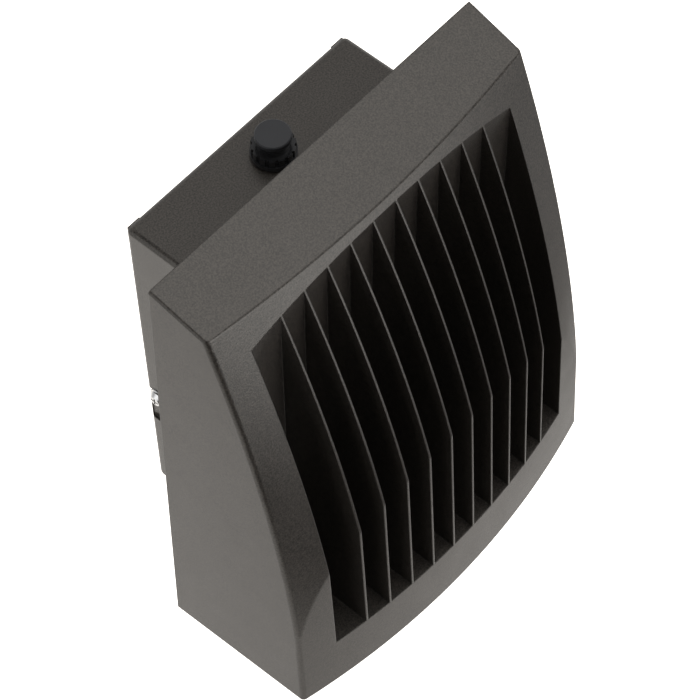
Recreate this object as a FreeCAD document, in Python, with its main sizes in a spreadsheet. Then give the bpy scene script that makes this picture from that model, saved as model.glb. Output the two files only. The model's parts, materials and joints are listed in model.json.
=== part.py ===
import FreeCAD, Part
import math
import os

import Sketcher
from FreeCAD import Placement, Rotation, Vector

# Wall pack light.
# Frame: millimetres, +Z up, +X to the right seen from the front, the front looks along -Y.
# The origin is the centre of the face that lies on the wall, so the wall is the plane Y = 0.

DIMENSIONS = {
    # back box, against the wall
    "box_depth": 58.0,
    "box_height": 260.0,
    "box_width_top": 176.0,
    "box_width_bottom": 172.0,
    "box_wall": 3.0,
    "box_corner": 3.8,
    "box_rear_round": 4.2,
    "box_wall_gap": 0.5,
    # head: the front casting with its fins
    "head_height": 336.0,
    "head_width_top": 252.8,
    "head_width_bottom": 266.6,
    "side_lean": 0.031,
    "brow_side_top": 33.8,
    "brow_side_middle": 81.7,
    "brow_side_bottom": 100.4,
    "brow_centre_top": 38.5,
    "brow_centre_middle": 106.4,
    "brow_centre_bottom": 131.8,
    "chin_depth": 116.2,
    "chin_radius": 521.0,
    "chin_lean": 0.0545,
    "top_slope": 0.293,
    "side_round": 3.4,
    "bottom_round": 2.6,
    "top_round": 2.0,
    "crease_round": 6.5,
    "recess_depth": 48.2,
    "recess_width": 208.0,
    "sill_height": 45.2,
    "fin_pitch": 18.0,
    "fin_thickness": 1.3,
    "head_wall": 3.5,
    "rim_wall": 5.5,
    "shelf_thickness": 4.5,
    "cavity_step_drop": 25.0,
    "cavity_top_depth": 28.0,
    "shelf_hole_radius": 5.0,
    "shelf_hole_x": 111.0,
    "shelf_hole_depth": 24.0,
    # rear cover of the head
    "cover_thickness": 2.0,
    "cover_gasket": 1.0,
    "cover_inset": 2.2,
    "cover_gap": 0.3,
    "side_cavity": 12.0,
    "side_cavity_reach": 90.0,
    "side_cavity_middle": 76.0,
    "side_cavity_top": 34.0,
    "cover_lip": 9.0,
    "cover_top_height": 329.0,
    "boss_radius": 5.0,
    "boss_hole_depth": 14.0,
    "cover_screw_side": 11.5,
    "cover_screw_z_middle": 4.0,
    "cover_screw_z_low": 100.0,
    "cover_screw_z_high": 118.0,
    "box_screw_x": 62.0,
    "box_screw_z": 92.0,
    # light chamber under the fins
    "chamber_wall": 6.5,
    "lens_wall": 3.2,
    "lens_gap": 0.4,
    "lens_thickness": 4.0,
    "lens_gasket": 1.5,
    "lens_gasket_width": 2.2,
    "frame_thickness": 2.0,
    "frame_recess": 2.5,
    "frame_width": 12.5,
    "lens_screw_x": 84.0,
    "lens_screw_inset": 4.0,
    "lens_boss_radius": 4.5,
    "board_width": 212.0,
    "board_length": 76.0,
    "board_thickness": 1.6,
    "board_back": 16.0,
    "board_screw_inset": 7.0,
    "pad_thickness": 0.5,
    "led_size": 3.0,
    "led_height": 0.7,
    "led_pitch_x": 14.0,
    "led_pitch_y": 16.0,
    "optic_thickness": 2.0,
    "optic_dome": 4.6,
    "optic_dome_height": 3.0,
    "optic_dome_end": 2.5,
    "optic_inset": 4.0,
    "optic_rim": 3.0,
    "optic_corner": 2.0,
    # driver in the head
    "driver_length": 150.0,
    "driver_width": 60.0,
    "driver_height": 30.0,
    "driver_x": -10.0,
    "driver_z": 48.0,
    "driver_stand": 5.0,
    "driver_foot": 9.0,
    "driver_foot_thickness": 1.6,
    "driver_lid": 2.0,
    # wall plate and the pivot at its top
    "plate_thickness": 2.0,
    "plate_gap": 1.0,
    "plate_drop": 1.2,
    "plate_rise": 11.0,
    "pivot_back": 5.0,
    "pivot_drop": 5.0,
    "rod_radius": 2.0,
    "rod_play": 0.05,
    "hook_width": 14.0,
    "hook_x": 52.0,
    "hook_front": 4.2,
    "hook_lip": 1.2,
    "hook_drop": 0.8,
    "hook_height": 14.0,
    "lug_width": 8.0,
    "lug_height": 7.0,
    "wire_hole_radius": 11.0,
    "octagon_spacing": 88.9,
    "gang_spacing": 83.3,
    "ground_x": 56.0,
    "ground_drop": 62.0,
    "slot_radius": 2.6,
    "slot_length": 14.0,
    "wall_hole_radius": 2.75,
    "wall_hole_x": 124.0,
    "wall_hole_z": 190.0,
    # closing screws at the sides
    "side_screw_back": 9.5,
    "side_screw_drop": 33.0,
    "side_screw_radius": 2.5,
    "side_head_radius": 5.4,
    "side_head_height": 3.2,
    "side_rim_height": 1.1,
    "side_crown_radius": 3.4,
    "side_recess_length": 5.6,
    "side_recess_width": 1.1,
    "side_recess_floor": 1.8,
    "side_washer_radius": 6.4,
    "side_washer_thickness": 1.0,
    "notch_depth": 1.0,
    "notch_radius": 8.4,
    "notch_drop": 9.0,
    "notch_front": 1.0,
    "well_height": 18.0,
    "well_depth": 2.0,
    "well_rim": 1.2,
    "side_screw_length": 9.0,
    "bracket_height": 26.0,
    "bracket_reach": 18.0,
    "bracket_foot": 22.0,
    "bracket_gap": 0.6,
    "rivet_inset": 13.0,
    "rivet_radius": 2.6,
    "rivet_height": 1.2,
    # photocell on the top
    "photocell_back": 27.5,
    "photocell_base_radius": 13.1,
    "photocell_ring_radius": 12.5,
    "photocell_ring_height": 5.0,
    "photocell_cap_radius": 10.2,
    "photocell_height": 18.0,
    "photocell_cap_height": 3.0,
    "photocell_cap_bevel": 0.6,
    "photocell_neck": 1.3,
    "photocell_gasket": 1.4,
    "photocell_flange": 2.6,
    "photocell_stem_radius": 7.8,
    "photocell_stem_length": 16.0,
    "lock_notch": 1.1,
    "locknut_radius": 12.5,
    "locknut_height": 4.0,
    # conduit entries and their plugs
    "conduit_radius": 10.2,
    "plug_head_radius": 13.0,
    "plug_head_height": 2.6,
    "plug_ring": 1.0,
    "plug_ring_inset": 0.6,
    "plug_slot_width": 2.0,
    "plug_slot_depth": 1.4,
    "seal_inset": 8.0,
    "seal_width": 3.0,
    "seal_thickness": 1.0,
    # small parts in the box
    "surge_x": 6.0,
    "surge_z": 39.0,
    "surge_length": 54.0,
    "surge_width": 36.0,
    "surge_height": 22.0,
    "splice_pitch": 20.0,
    "splice_z": 4.0,
    "splice_length": 20.0,
    "splice_width": 13.0,
    "splice_height": 8.0,
    "lead_radius": 1.3,
    "lead_bend": 4.0,
    "lead_spread": 4.0,
    "lead_end": 8.0,
    "lead_side": 16.0,
    "lead_down": 10.0,
    "lead_turn": 12.0,
    "lead_level": 5.0,
    "photocell_lead_turn": 24.0,
    "photocell_lead_shift": 3.0,
    "grommet_x": 36.0,
    "grommet_z": 40.0,
    "grommet_radius": 9.0,
    "grommet_flange": 1.6,
    "grommet_rim": 2.0,
    "grommet_bore": 5.6,
    "screw_radius": 2.0,
    "screw_head_radius": 3.6,
    "screw_head_height": 2.4,
    "small_screw_radius": 1.5,
    "small_head_radius": 2.8,
    "small_head_height": 1.9,
    "clearance": 0.3,
    "thread_play": 0.05,
    "screw_end_gap": 2.0,
    "web": 1.0,
    "cut_margin": 10.0,
}
FIN_COUNT = 10
LED_COLUMNS = 14
LED_ROWS = 4
RING_NOTCHES = 14

doc = FreeCAD.newDocument("wall_pack_light")
sheet = doc.addObject("Spreadsheet::Sheet", "dims")


class Size:
    """A length with both its formula, for binding, and its present value."""

    def __init__(self, text, value):
        self.text = text
        self.value = float(value)

    def __add__(self, other):
        other = size(other)
        return Size("(%s + %s)" % (self.text, other.text), self.value + other.value)

    def __sub__(self, other):
        other = size(other)
        return Size("(%s - %s)" % (self.text, other.text), self.value - other.value)

    def __mul__(self, other):
        other = size(other)
        return Size("(%s * %s)" % (self.text, other.text), self.value * other.value)

    def __truediv__(self, other):
        other = size(other)
        return Size("(%s / %s)" % (self.text, other.text), self.value / other.value)

    def __radd__(self, other):
        return size(other) + self

    def __rsub__(self, other):
        return size(other) - self

    def __rmul__(self, other):
        return size(other) * self

    def __neg__(self):
        return Size("(0 - %s)" % self.text, -self.value)


def root(value):
    return Size("sqrt(%s)" % value.text, math.sqrt(value.value))


def size(value):
    return value if isinstance(value, Size) else Size("(%.6f)" % value, value)


class Dimensions:
    """Each driving dimension as an attribute."""


def fill_sheet():
    dims = Dimensions()
    for row, (name, value) in enumerate(DIMENSIONS.items(), start=1):
        sheet.set("A%d" % row, name)
        sheet.set("B%d" % row, str(value))
        sheet.setAlias("B%d" % row, name)
        setattr(dims, name, Size("dims.%s" % name, value))
    doc.recompute()
    return dims


D = fill_sheet()
WHOLE = 600.0


def bind(obj, prop, value):
    obj.setExpression(prop, size(value).text)


def place(obj, x=0.0, y=0.0, z=0.0, rotation=None):
    if rotation is not None:
        obj.Placement = Placement(Vector(0, 0, 0), rotation)
    for prop, value in (("x", x), ("y", y), ("z", z)):
        bind(obj, "Placement.Base." + prop, value)


# Rotations that turn a primitive's own Z axis along another axis
ALONG_X = Rotation(Vector(0, 1, 0), 90)
ALONG_MINUS_X = Rotation(Vector(0, 1, 0), -90)
ALONG_Y = Rotation(Vector(1, 0, 0), -90)
ALONG_MINUS_Y = Rotation(Vector(1, 0, 0), 90)
ALONG_MINUS_Z = Rotation(Vector(1, 0, 0), 180)
ALONG_Z = Rotation()


def box(name, low, lengths):
    solid = doc.addObject("Part::Box", name)
    for prop, value in zip(("Length", "Width", "Height"), lengths):
        bind(solid, prop, value)
    place(solid, *low)
    return solid


def cylinder(name, base, radius, height, direction=ALONG_Z):
    solid = doc.addObject("Part::Cylinder", name)
    bind(solid, "Radius", radius)
    bind(solid, "Height", height)
    place(solid, *base, rotation=direction)
    return solid


def cone(name, base, radius_low, radius_high, height, direction=ALONG_Z):
    solid = doc.addObject("Part::Cone", name)
    bind(solid, "Radius1", radius_low)
    bind(solid, "Radius2", radius_high)
    bind(solid, "Height", height)
    place(solid, *base, rotation=direction)
    return solid


def hexagon(name, base, radius, height, direction=ALONG_Z):
    solid = doc.addObject("Part::Prism", name)
    solid.Polygon = 6
    bind(solid, "Circumradius", radius)
    bind(solid, "Height", height)
    place(solid, *base, rotation=direction)
    return solid


def group(name, solids):
    """Separate solids, such as identical fasteners, under one name."""
    result = doc.addObject("Part::Compound", name)
    result.Links = solids
    return result


def joined(name, solids):
    result = doc.addObject("Part::MultiFuse", name)
    result.Shapes = solids
    result.Refine = False
    return result


def cut(name, base, tools):
    result = doc.addObject("Part::Cut", name)
    result.Base = base
    result.Tool = tools[0] if len(tools) == 1 else group(name + "_tools", tools)
    return result


# Sketch-based bodies

def new_body(name):
    body = doc.addObject("PartDesign::Body", name)
    body.Label = name
    return body


def origin_plane(body, role):
    for feature in body.Origin.OriginFeatures:
        if feature.Role == role:
            return feature
    raise ValueError(role)


def new_sketch(body, name, role, offset=0.0):
    sketch = body.newObject("Sketcher::SketchObject", name)
    sketch.AttachmentSupport = (origin_plane(body, role), [""])
    sketch.MapMode = "FlatFace"
    bind(sketch, "AttachmentOffset.Base.z", offset)
    return sketch


def fix_point(sketch, geometry, point, x, y):
    for kind, value in (("DistanceX", x), ("DistanceY", y)):
        if value is None:
            continue
        value = size(value)
        index = sketch.addConstraint(Sketcher.Constraint(kind, -1, 1, geometry, point, value.value))
        sketch.setExpression("Constraints[%d]" % index, value.text)


def add_polygon(sketch, points):
    points = [(size(x), size(y)) for x, y in points]
    first = sketch.GeometryCount
    count = len(points)
    for i in range(count):
        start = points[i]
        end = points[(i + 1) % count]
        line = Part.LineSegment(Vector(start[0].value, start[1].value, 0), Vector(end[0].value, end[1].value, 0))
        sketch.addGeometry(line, False)
    for i in range(count):
        sketch.addConstraint(Sketcher.Constraint("Coincident", first + i, 2, first + (i + 1) % count, 1))
        fix_point(sketch, first + i, 1, points[i][0], points[i][1])


def add_rectangle(sketch, x_low, y_low, x_high, y_high):
    add_polygon(sketch, [(x_low, y_low), (x_high, y_low), (x_high, y_high), (x_low, y_high)])


def add_circle(sketch, x, y, radius):
    x, y, radius = size(x), size(y), size(radius)
    centre = Vector(x.value, y.value, 0)
    index = sketch.addGeometry(Part.Circle(centre, Vector(0, 0, 1), radius.value), False)
    fix_point(sketch, index, 3, x, y)
    rule = sketch.addConstraint(Sketcher.Constraint("Radius", index, radius.value))
    sketch.setExpression("Constraints[%d]" % rule, radius.text)


def add_open_outline(sketch, corners, arc_centre, radius):
    """Straight lines through four corners, closed by an arc whose lowest point is on the Y axis."""
    corners = [(size(x), size(y)) for x, y in corners]
    first = sketch.GeometryCount
    for start, end in zip(corners, corners[1:]):
        sketch.addGeometry(Part.LineSegment(Vector(start[0].value, start[1].value, 0),
                                            Vector(end[0].value, end[1].value, 0)), False)
    half_angle = math.asin(corners[3][0].value / radius.value)
    circle = Part.Circle(Vector(0, arc_centre.value, 0), Vector(0, 0, 1), radius.value)
    down = -math.pi / 2
    arc = sketch.addGeometry(Part.ArcOfCircle(circle, down - half_angle, down + half_angle), False)
    for i, corner in enumerate(corners[:3]):
        fix_point(sketch, first + i, 1, corner[0], corner[1])
    fix_point(sketch, first + 2, 2, corners[3][0], None)
    sketch.addConstraint(Sketcher.Constraint("Coincident", first, 2, first + 1, 1))
    sketch.addConstraint(Sketcher.Constraint("Coincident", first + 1, 2, first + 2, 1))
    sketch.addConstraint(Sketcher.Constraint("Coincident", first + 2, 2, arc, 2))
    sketch.addConstraint(Sketcher.Constraint("Coincident", arc, 1, first, 1))
    fix_point(sketch, arc, 3, 0.0, arc_centre)


def add_bowed_outline(sketch, back_half, back_y, front_half, side_y, centre_y):
    """Straight back and sides, and a front that is one arc, lowest in the middle."""
    back_half, back_y, front_half = size(back_half), size(back_y), size(front_half)
    side_y, centre_y = size(side_y), size(centre_y)
    sagitta = side_y - centre_y
    radius = front_half * front_half / (2.0 * sagitta) + sagitta / 2.0
    corners = [(-front_half, side_y), (-back_half, back_y), (back_half, back_y), (front_half, side_y)]
    add_open_outline(sketch, corners, centre_y + radius, radius)


def pad(body, sketch, name, length, reverse=False, both=False):
    feature = body.newObject("PartDesign::Pad", name)
    feature.Profile = sketch
    bind(feature, "Length", length)
    feature.Reversed = reverse
    feature.Midplane = both
    body.Tip = feature
    return feature


def pocket(body, sketch, name, length, reverse=False, both=False):
    feature = body.newObject("PartDesign::Pocket", name)
    feature.Profile = sketch
    bind(feature, "Length", length)
    feature.Reversed = reverse
    feature.Midplane = both
    body.Tip = feature
    return feature


def loft(body, sketches, name, kind="PartDesign::AdditiveLoft", ruled=False):
    feature = body.newObject(kind, name)
    feature.Profile = sketches[0]
    feature.Sections = sketches[1:]
    feature.Ruled = ruled
    body.Tip = feature
    return feature


def round_edges(body, name, radius, wanted):
    doc.recompute()
    base = body.Tip
    edges = ["Edge%d" % (i + 1) for i, edge in enumerate(base.Shape.Edges) if wanted(edge)]
    feature = body.newObject("PartDesign::Fillet", name)
    feature.Base = (base, edges)
    bind(feature, "Radius", radius)
    body.Tip = feature
    return feature


# Places shared by several pieces

HEAD_BACK = D.box_depth
HALF_HEAD = D.head_height / 2.0
HEAD_BOTTOM = -HALF_HEAD
SILL = HEAD_BOTTOM + D.sill_height
SHELF_UNDER = SILL - D.shelf_thickness
CAVITY_FRONT = D.recess_depth - D.head_wall
COVER_SEAT = D.cover_thickness + D.cover_gasket
CAVITY_TOP = D.cover_top_height - D.cover_lip
CAVITY_STEP = CAVITY_TOP - D.cavity_step_drop
LENS_SEAT = D.frame_recess + D.frame_thickness + D.lens_thickness + D.lens_gasket
FRONT_CLEAR = D.brow_centre_bottom + D.cut_margin


def head_half_width(height):
    """Half the head's width at its back, at a height above its bottom edge."""
    growth = (D.head_width_top - D.head_width_bottom) / 2.0 / D.head_height
    return D.head_width_bottom / 2.0 + growth * height


def head_trapezium(inset, low, high):
    """Outline seen from the front, inside the head's sides, between two heights above its bottom edge."""
    low, high = size(low), size(high)
    half_low = head_half_width(low) - inset
    half_high = head_half_width(high) - inset
    return [(-half_low, HEAD_BOTTOM + low), (half_low, HEAD_BOTTOM + low),
            (half_high, HEAD_BOTTOM + high), (-half_high, HEAD_BOTTOM + high)]


def head_section(body, name, height, side, centre):
    sketch = new_sketch(body, name, "XY_Plane", HEAD_BOTTOM + height)
    half = head_half_width(size(height))
    add_bowed_outline(sketch, half, -HEAD_BACK, half - D.side_lean * side, -(HEAD_BACK + side), -(HEAD_BACK + centre))
    return sketch


def chin_section(body, name, height):
    """What lies in front of the bowed lower facet, at a height above the bottom edge."""
    sketch = new_sketch(body, name, "XY_Plane", HEAD_BOTTOM + height)
    reach = size(WHOLE / 3.0)
    depth = HEAD_BACK + D.chin_depth - D.chin_lean * height
    arc_centre = D.chin_radius - depth
    side_y = arc_centre - root(D.chin_radius * D.chin_radius - reach * reach)
    front_y = -(depth + D.brow_centre_bottom)
    corners = [(-reach, side_y), (-reach, front_y), (reach, front_y), (reach, side_y)]
    add_open_outline(sketch, corners, arc_centre, D.chin_radius)
    return sketch


def fin_places():
    return [(i - (FIN_COUNT - 1) / 2.0) * D.fin_pitch for i in range(FIN_COUNT)]


def gap_edges():
    """Left and right edge of each gap between the fins, the end gaps reaching the recess's sides."""
    half_fin = D.fin_thickness / 2.0
    places = fin_places()
    left = [-D.recess_width / 2.0] + [place_x + half_fin for place_x in places]
    right = [place_x - half_fin for place_x in places] + [D.recess_width / 2.0]
    return list(zip(left, right))


def cover_screw_places():
    heights = (-D.cover_screw_z_low, D.cover_screw_z_middle, D.cover_screw_z_high)
    return [(side * (head_half_width(HALF_HEAD + height) - D.cover_screw_side), height)
            for side in (-1.0, 1.0) for height in heights]


def box_screw_places():
    return [(sx * D.box_screw_x, sz * D.box_screw_z) for sx in (-1.0, 1.0) for sz in (-1.0, 1.0)]


def lens_screw_places():
    back = -(HEAD_BACK + D.chamber_wall + D.lens_screw_inset)
    middle_front = -(HEAD_BACK + D.chin_depth - D.chamber_wall - D.lens_screw_inset)
    drop = D.lens_screw_x * D.lens_screw_x / (2.0 * D.chin_radius)
    places = [(size(0.0), back), (size(0.0), middle_front)]
    for side in (-1.0, 1.0):
        places.append((side * D.lens_screw_x, back))
        places.append((side * D.lens_screw_x, middle_front + drop))
    return places


def driver_screw_places():
    reach = D.driver_length / 2.0 + D.driver_foot / 2.0
    return [(D.driver_x + side * reach, D.driver_z) for side in (-1.0, 1.0)]


def board_screw_places():
    x = D.board_width / 2.0 - D.board_screw_inset
    back = -(HEAD_BACK + D.board_back + D.board_screw_inset)
    front = -(HEAD_BACK + D.board_back + D.board_length - D.board_screw_inset)
    return [(sx * x, y) for sx in (-1.0, 1.0) for y in (back, front)]


def head_outer(body):
    sections = [
        head_section(body, "head_section_bottom", size(0.0), D.brow_side_bottom, D.brow_centre_bottom),
        head_section(body, "head_section_middle", D.head_height / 2.0, D.brow_side_middle, D.brow_centre_middle),
        head_section(body, "head_section_top", D.head_height, D.brow_side_top, D.brow_centre_top),
    ]
    loft(body, sections, "head_outer")
    chin = [chin_section(body, "chin_bottom", -D.cut_margin),
            chin_section(body, "chin_top", D.head_height + D.cut_margin)]
    loft(body, chin, "head_chin", "PartDesign::SubtractiveLoft", ruled=True)
    slope = new_sketch(body, "top_slope_sketch", "YZ_Plane")
    reach = FRONT_CLEAR
    behind = D.cut_margin - HEAD_BACK
    above = HALF_HEAD + reach
    add_polygon(slope, [(behind, HALF_HEAD + D.cut_margin * D.top_slope),
                        (-(HEAD_BACK + reach), HALF_HEAD - reach * D.top_slope),
                        (-(HEAD_BACK + reach), above), (behind, above)])
    pocket(body, slope, "top_slope_cut", WHOLE, both=True)


def circle_sketch(body, name, role, offset, places, radius):
    sketch = new_sketch(body, name, role, offset)
    for x, y in places:
        add_circle(sketch, x, y, radius)
    return sketch


def crosses_front(edge):
    """An arched edge across the front, where the head's upper face meets the lower facet."""
    room = edge.BoundBox
    return room.XLength > D.recess_width.value and room.ZLength > D.sill_height.value


def is_off_back(edge):
    return edge.BoundBox.YMin < -(HEAD_BACK.value + D.web.value)


def is_side_edge(edge):
    """An upright edge where a side meets the front."""
    room = edge.BoundBox
    return is_off_back(edge) and room.ZLength > room.YLength and room.XLength < D.recess_width.value


def is_bottom_edge(edge):
    return is_off_back(edge) and edge.BoundBox.ZMax < HEAD_BOTTOM.value + D.web.value


def is_top_edge(edge):
    drop = D.top_slope.value * D.brow_centre_top.value + D.web.value
    return is_off_back(edge) and edge.BoundBox.ZMin > HALF_HEAD.value - drop


def front_housing():
    body = new_body("front_housing")
    head_outer(body)
    round_edges(body, "crease_round", D.crease_round, crosses_front)
    round_edges(body, "side_rounds", D.side_round, is_side_edge)
    round_edges(body, "bottom_rounds", D.bottom_round, is_bottom_edge)
    round_edges(body, "top_rounds", D.top_round, is_top_edge)
    gaps = new_sketch(body, "gap_sketch", "XZ_Plane", HEAD_BACK + FRONT_CLEAR)
    for left, right in gap_edges():
        add_rectangle(gaps, left, SILL, right, HALF_HEAD + D.cut_margin)
    pocket(body, gaps, "gaps", FRONT_CLEAR - D.recess_depth)
    seat = new_sketch(body, "cover_seat_sketch", "XZ_Plane", HEAD_BACK)
    add_polygon(seat, head_trapezium(D.cover_inset, D.sill_height - D.cover_lip, D.cover_top_height + D.cover_gap))
    pocket(body, seat, "cover_seat", COVER_SEAT, reverse=True)
    cavity = new_sketch(body, "cavity_sketch", "XZ_Plane", HEAD_BACK + COVER_SEAT)
    add_polygon(cavity, head_trapezium(D.rim_wall, D.sill_height, CAVITY_STEP))
    pocket(body, cavity, "cavity", CAVITY_FRONT - COVER_SEAT, reverse=True)
    upper = new_sketch(body, "upper_cavity_sketch", "XZ_Plane", HEAD_BACK + COVER_SEAT)
    add_polygon(upper, head_trapezium(D.rim_wall, CAVITY_STEP - D.web, CAVITY_TOP))
    pocket(body, upper, "upper_cavity", D.cavity_top_depth - COVER_SEAT, reverse=True)
    for side, name in ((-1.0, "left"), (1.0, "right")):
        side_cavity(body, side, name)
    lens_room = new_sketch(body, "lens_room_sketch", "XY_Plane", HEAD_BOTTOM)
    add_chamber_outline(lens_room, D.lens_wall)
    pocket(body, lens_room, "lens_room", LENS_SEAT, reverse=True)
    chamber = new_sketch(body, "chamber_sketch", "XY_Plane", HEAD_BOTTOM)
    add_chamber_outline(chamber, D.chamber_wall)
    pocket(body, chamber, "chamber", D.sill_height - D.shelf_thickness, reverse=True)
    front_housing_bosses(body)
    front_housing_holes(body)
    return body


def side_cavity(body, side, name):
    """The hollow beside the fins' recess."""
    sketch = new_sketch(body, name + "_cavity_sketch", "YZ_Plane", side * (D.recess_width / 2.0 + D.head_wall))
    back = -(HEAD_BACK + COVER_SEAT)
    high = HEAD_BOTTOM + CAVITY_TOP
    add_polygon(sketch, [(back, SILL), (-(HEAD_BACK + D.side_cavity_reach), SILL),
                         (-(HEAD_BACK + D.side_cavity_middle), size(0.0)),
                         (-(HEAD_BACK + D.side_cavity_top), high), (back, high)])
    pocket(body, sketch, name + "_cavity", D.side_cavity, reverse=side > 0)


def add_chamber_outline(sketch, wall):
    """The bottom edge's outline, moved in by a wall."""
    half_back = head_half_width(size(0.0)) - wall
    half_front = half_back - D.side_lean * D.brow_side_bottom
    arc_centre = D.chin_radius - (HEAD_BACK + D.chin_depth)
    radius = D.chin_radius - wall
    side_y = arc_centre - root(radius * radius - half_front * half_front)
    back_y = -(HEAD_BACK + wall)
    corners = [(-half_front, side_y), (-half_back, back_y), (half_back, back_y), (half_front, side_y)]
    add_open_outline(sketch, corners, arc_centre, radius)


def front_housing_bosses(body):
    places = cover_screw_places() + box_screw_places()
    bosses = circle_sketch(body, "boss_sketch", "XZ_Plane", HEAD_BACK + CAVITY_FRONT, places, D.boss_radius)
    pad(body, bosses, "bosses", CAVITY_FRONT - D.cover_thickness, reverse=True)
    stands = circle_sketch(body, "stand_sketch", "XZ_Plane", HEAD_BACK + CAVITY_FRONT,
                           driver_screw_places(), D.boss_radius)
    pad(body, stands, "stands", D.driver_stand, reverse=True)
    level = D.frame_recess + D.frame_thickness + D.lens_thickness
    lens_bosses = circle_sketch(body, "lens_boss_sketch", "XY_Plane", HEAD_BOTTOM + level,
                                lens_screw_places(), D.lens_boss_radius)
    pad(body, lens_bosses, "lens_bosses", D.sill_height - D.shelf_thickness - level)


def front_housing_holes(body):
    boss_face = HEAD_BACK + D.cover_thickness
    cover_holes = circle_sketch(body, "cover_hole_sketch", "XZ_Plane", boss_face,
                                cover_screw_places() + box_screw_places(), D.screw_radius + D.thread_play)
    pocket(body, cover_holes, "cover_holes", D.boss_hole_depth, reverse=True)
    stand_face = HEAD_BACK + CAVITY_FRONT - D.driver_stand
    stand_holes = circle_sketch(body, "stand_hole_sketch", "XZ_Plane", stand_face,
                                driver_screw_places(), D.small_screw_radius + D.thread_play)
    pocket(body, stand_holes, "stand_holes", D.driver_stand, reverse=True)
    level = D.frame_recess + D.frame_thickness + D.lens_thickness
    lens_holes = circle_sketch(body, "lens_hole_sketch", "XY_Plane", HEAD_BOTTOM + level,
                               lens_screw_places(), D.small_screw_radius + D.thread_play)
    pocket(body, lens_holes, "lens_holes", D.boss_hole_depth, reverse=True)
    board_holes = circle_sketch(body, "board_hole_sketch", "XY_Plane", SHELF_UNDER,
                                board_screw_places(), D.small_screw_radius + D.thread_play)
    pocket(body, board_holes, "board_holes", D.shelf_thickness - D.web, reverse=True)
    shelf_hole = circle_sketch(body, "shelf_hole_sketch", "XY_Plane", SHELF_UNDER,
                               [SHELF_HOLE], D.shelf_hole_radius)
    pocket(body, shelf_hole, "shelf_hole", D.shelf_thickness, reverse=True)


def rear_cover():
    body = new_body("rear_cover")
    outline = new_sketch(body, "cover_outline", "XZ_Plane", HEAD_BACK)
    add_polygon(outline, head_trapezium(D.cover_inset + D.cover_gap, D.sill_height - D.cover_lip + D.cover_gap,
                                        D.cover_top_height))
    for x, z in cover_screw_places() + box_screw_places():
        add_circle(outline, x, z, D.screw_radius + D.clearance)
    add_circle(outline, GROMMET[0], GROMMET[1], D.grommet_radius)
    pad(body, outline, "cover_plate", D.cover_thickness)
    return body


def rear_cover_gasket():
    body = new_body("rear_cover_gasket")
    ring = new_sketch(body, "cover_gasket_outline", "XZ_Plane", HEAD_BACK + D.cover_thickness)
    add_polygon(ring, head_trapezium(D.cover_inset + D.cover_gap, D.sill_height - D.cover_lip + D.cover_gap,
                                     D.cover_top_height))
    add_polygon(ring, head_trapezium(D.rim_wall, D.sill_height, CAVITY_TOP))
    pad(body, ring, "cover_gasket_ring", D.cover_gasket)
    return body


# Back box

def box_half_width(z):
    """Half the box's width at a height above the middle of the box."""
    middle = (D.box_width_top + D.box_width_bottom) / 4.0
    return middle + (D.box_width_top - D.box_width_bottom) / 4.0 / HALF_BOX * z


def box_trapezium(inset):
    top = HALF_BOX - inset
    low = box_half_width(-HALF_BOX) - inset
    high = box_half_width(HALF_BOX) - inset
    return [(-low, -top), (low, -top), (high, top), (-high, top)]


def is_depth_edge(edge):
    return edge.BoundBox.YLength > D.box_depth.value / 2.0


def rear_round(body, side, name):
    """Takes the long edge at the wall off to a quarter round."""
    sketch = new_sketch(body, name + "_rear_round_sketch", "YZ_Plane")
    radius = D.box_rear_round
    back = -D.box_wall_gap
    behind = D.cut_margin
    centre_z = side * (HALF_BOX - radius)
    outside = side * (HALF_BOX + D.cut_margin)
    lines = [((back, centre_z), (behind, centre_z)), ((behind, centre_z), (behind, outside)),
             ((behind, outside), (back - radius, outside)),
             ((back - radius, outside), (back - radius, side * HALF_BOX))]
    for start, end in lines:
        sketch.addGeometry(Part.LineSegment(Vector(start[0].value, start[1].value, 0),
                                            Vector(end[0].value, end[1].value, 0)), False)
    circle = Part.Circle(Vector((back - radius).value, centre_z.value, 0), Vector(0, 0, 1), radius.value)
    start_angle, end_angle = (0.0, math.pi / 2) if side > 0 else (-math.pi / 2, 0.0)
    arc = sketch.addGeometry(Part.ArcOfCircle(circle, start_angle, end_angle), False)
    for i, (start, end) in enumerate(lines):
        fix_point(sketch, i, 1, start[0], start[1])
        if i > 0:
            sketch.addConstraint(Sketcher.Constraint("Coincident", i - 1, 2, i, 1))
    fix_point(sketch, 3, 2, lines[3][1][0], lines[3][1][1])
    first_end, last_end = (1, 2) if side > 0 else (2, 1)
    sketch.addConstraint(Sketcher.Constraint("Coincident", arc, first_end, 0, 1))
    sketch.addConstraint(Sketcher.Constraint("Coincident", arc, last_end, 3, 2))
    fix_point(sketch, arc, 3, back - radius, None)
    pocket(body, sketch, name + "_rear_round", WHOLE, both=True)


def back_box():
    body = new_body("back_box")
    outline = new_sketch(body, "box_outline", "XZ_Plane", D.box_wall_gap)
    add_polygon(outline, box_trapezium(0.0))
    pad(body, outline, "box_block", D.box_depth - D.box_wall_gap)
    rear_round(body, 1.0, "top")
    rear_round(body, -1.0, "bottom")
    round_edges(body, "box_corners", D.box_corner, is_depth_edge)
    inside = new_sketch(body, "box_inside_sketch", "XZ_Plane")
    add_polygon(inside, box_trapezium(D.box_wall))
    pocket(body, inside, "box_inside", D.box_depth - D.box_wall, reverse=True)
    back_box_lugs(body)
    for side in (-1.0, 1.0):
        back_box_notch(body, side)
    back_box_openings(body)
    return body


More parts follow.
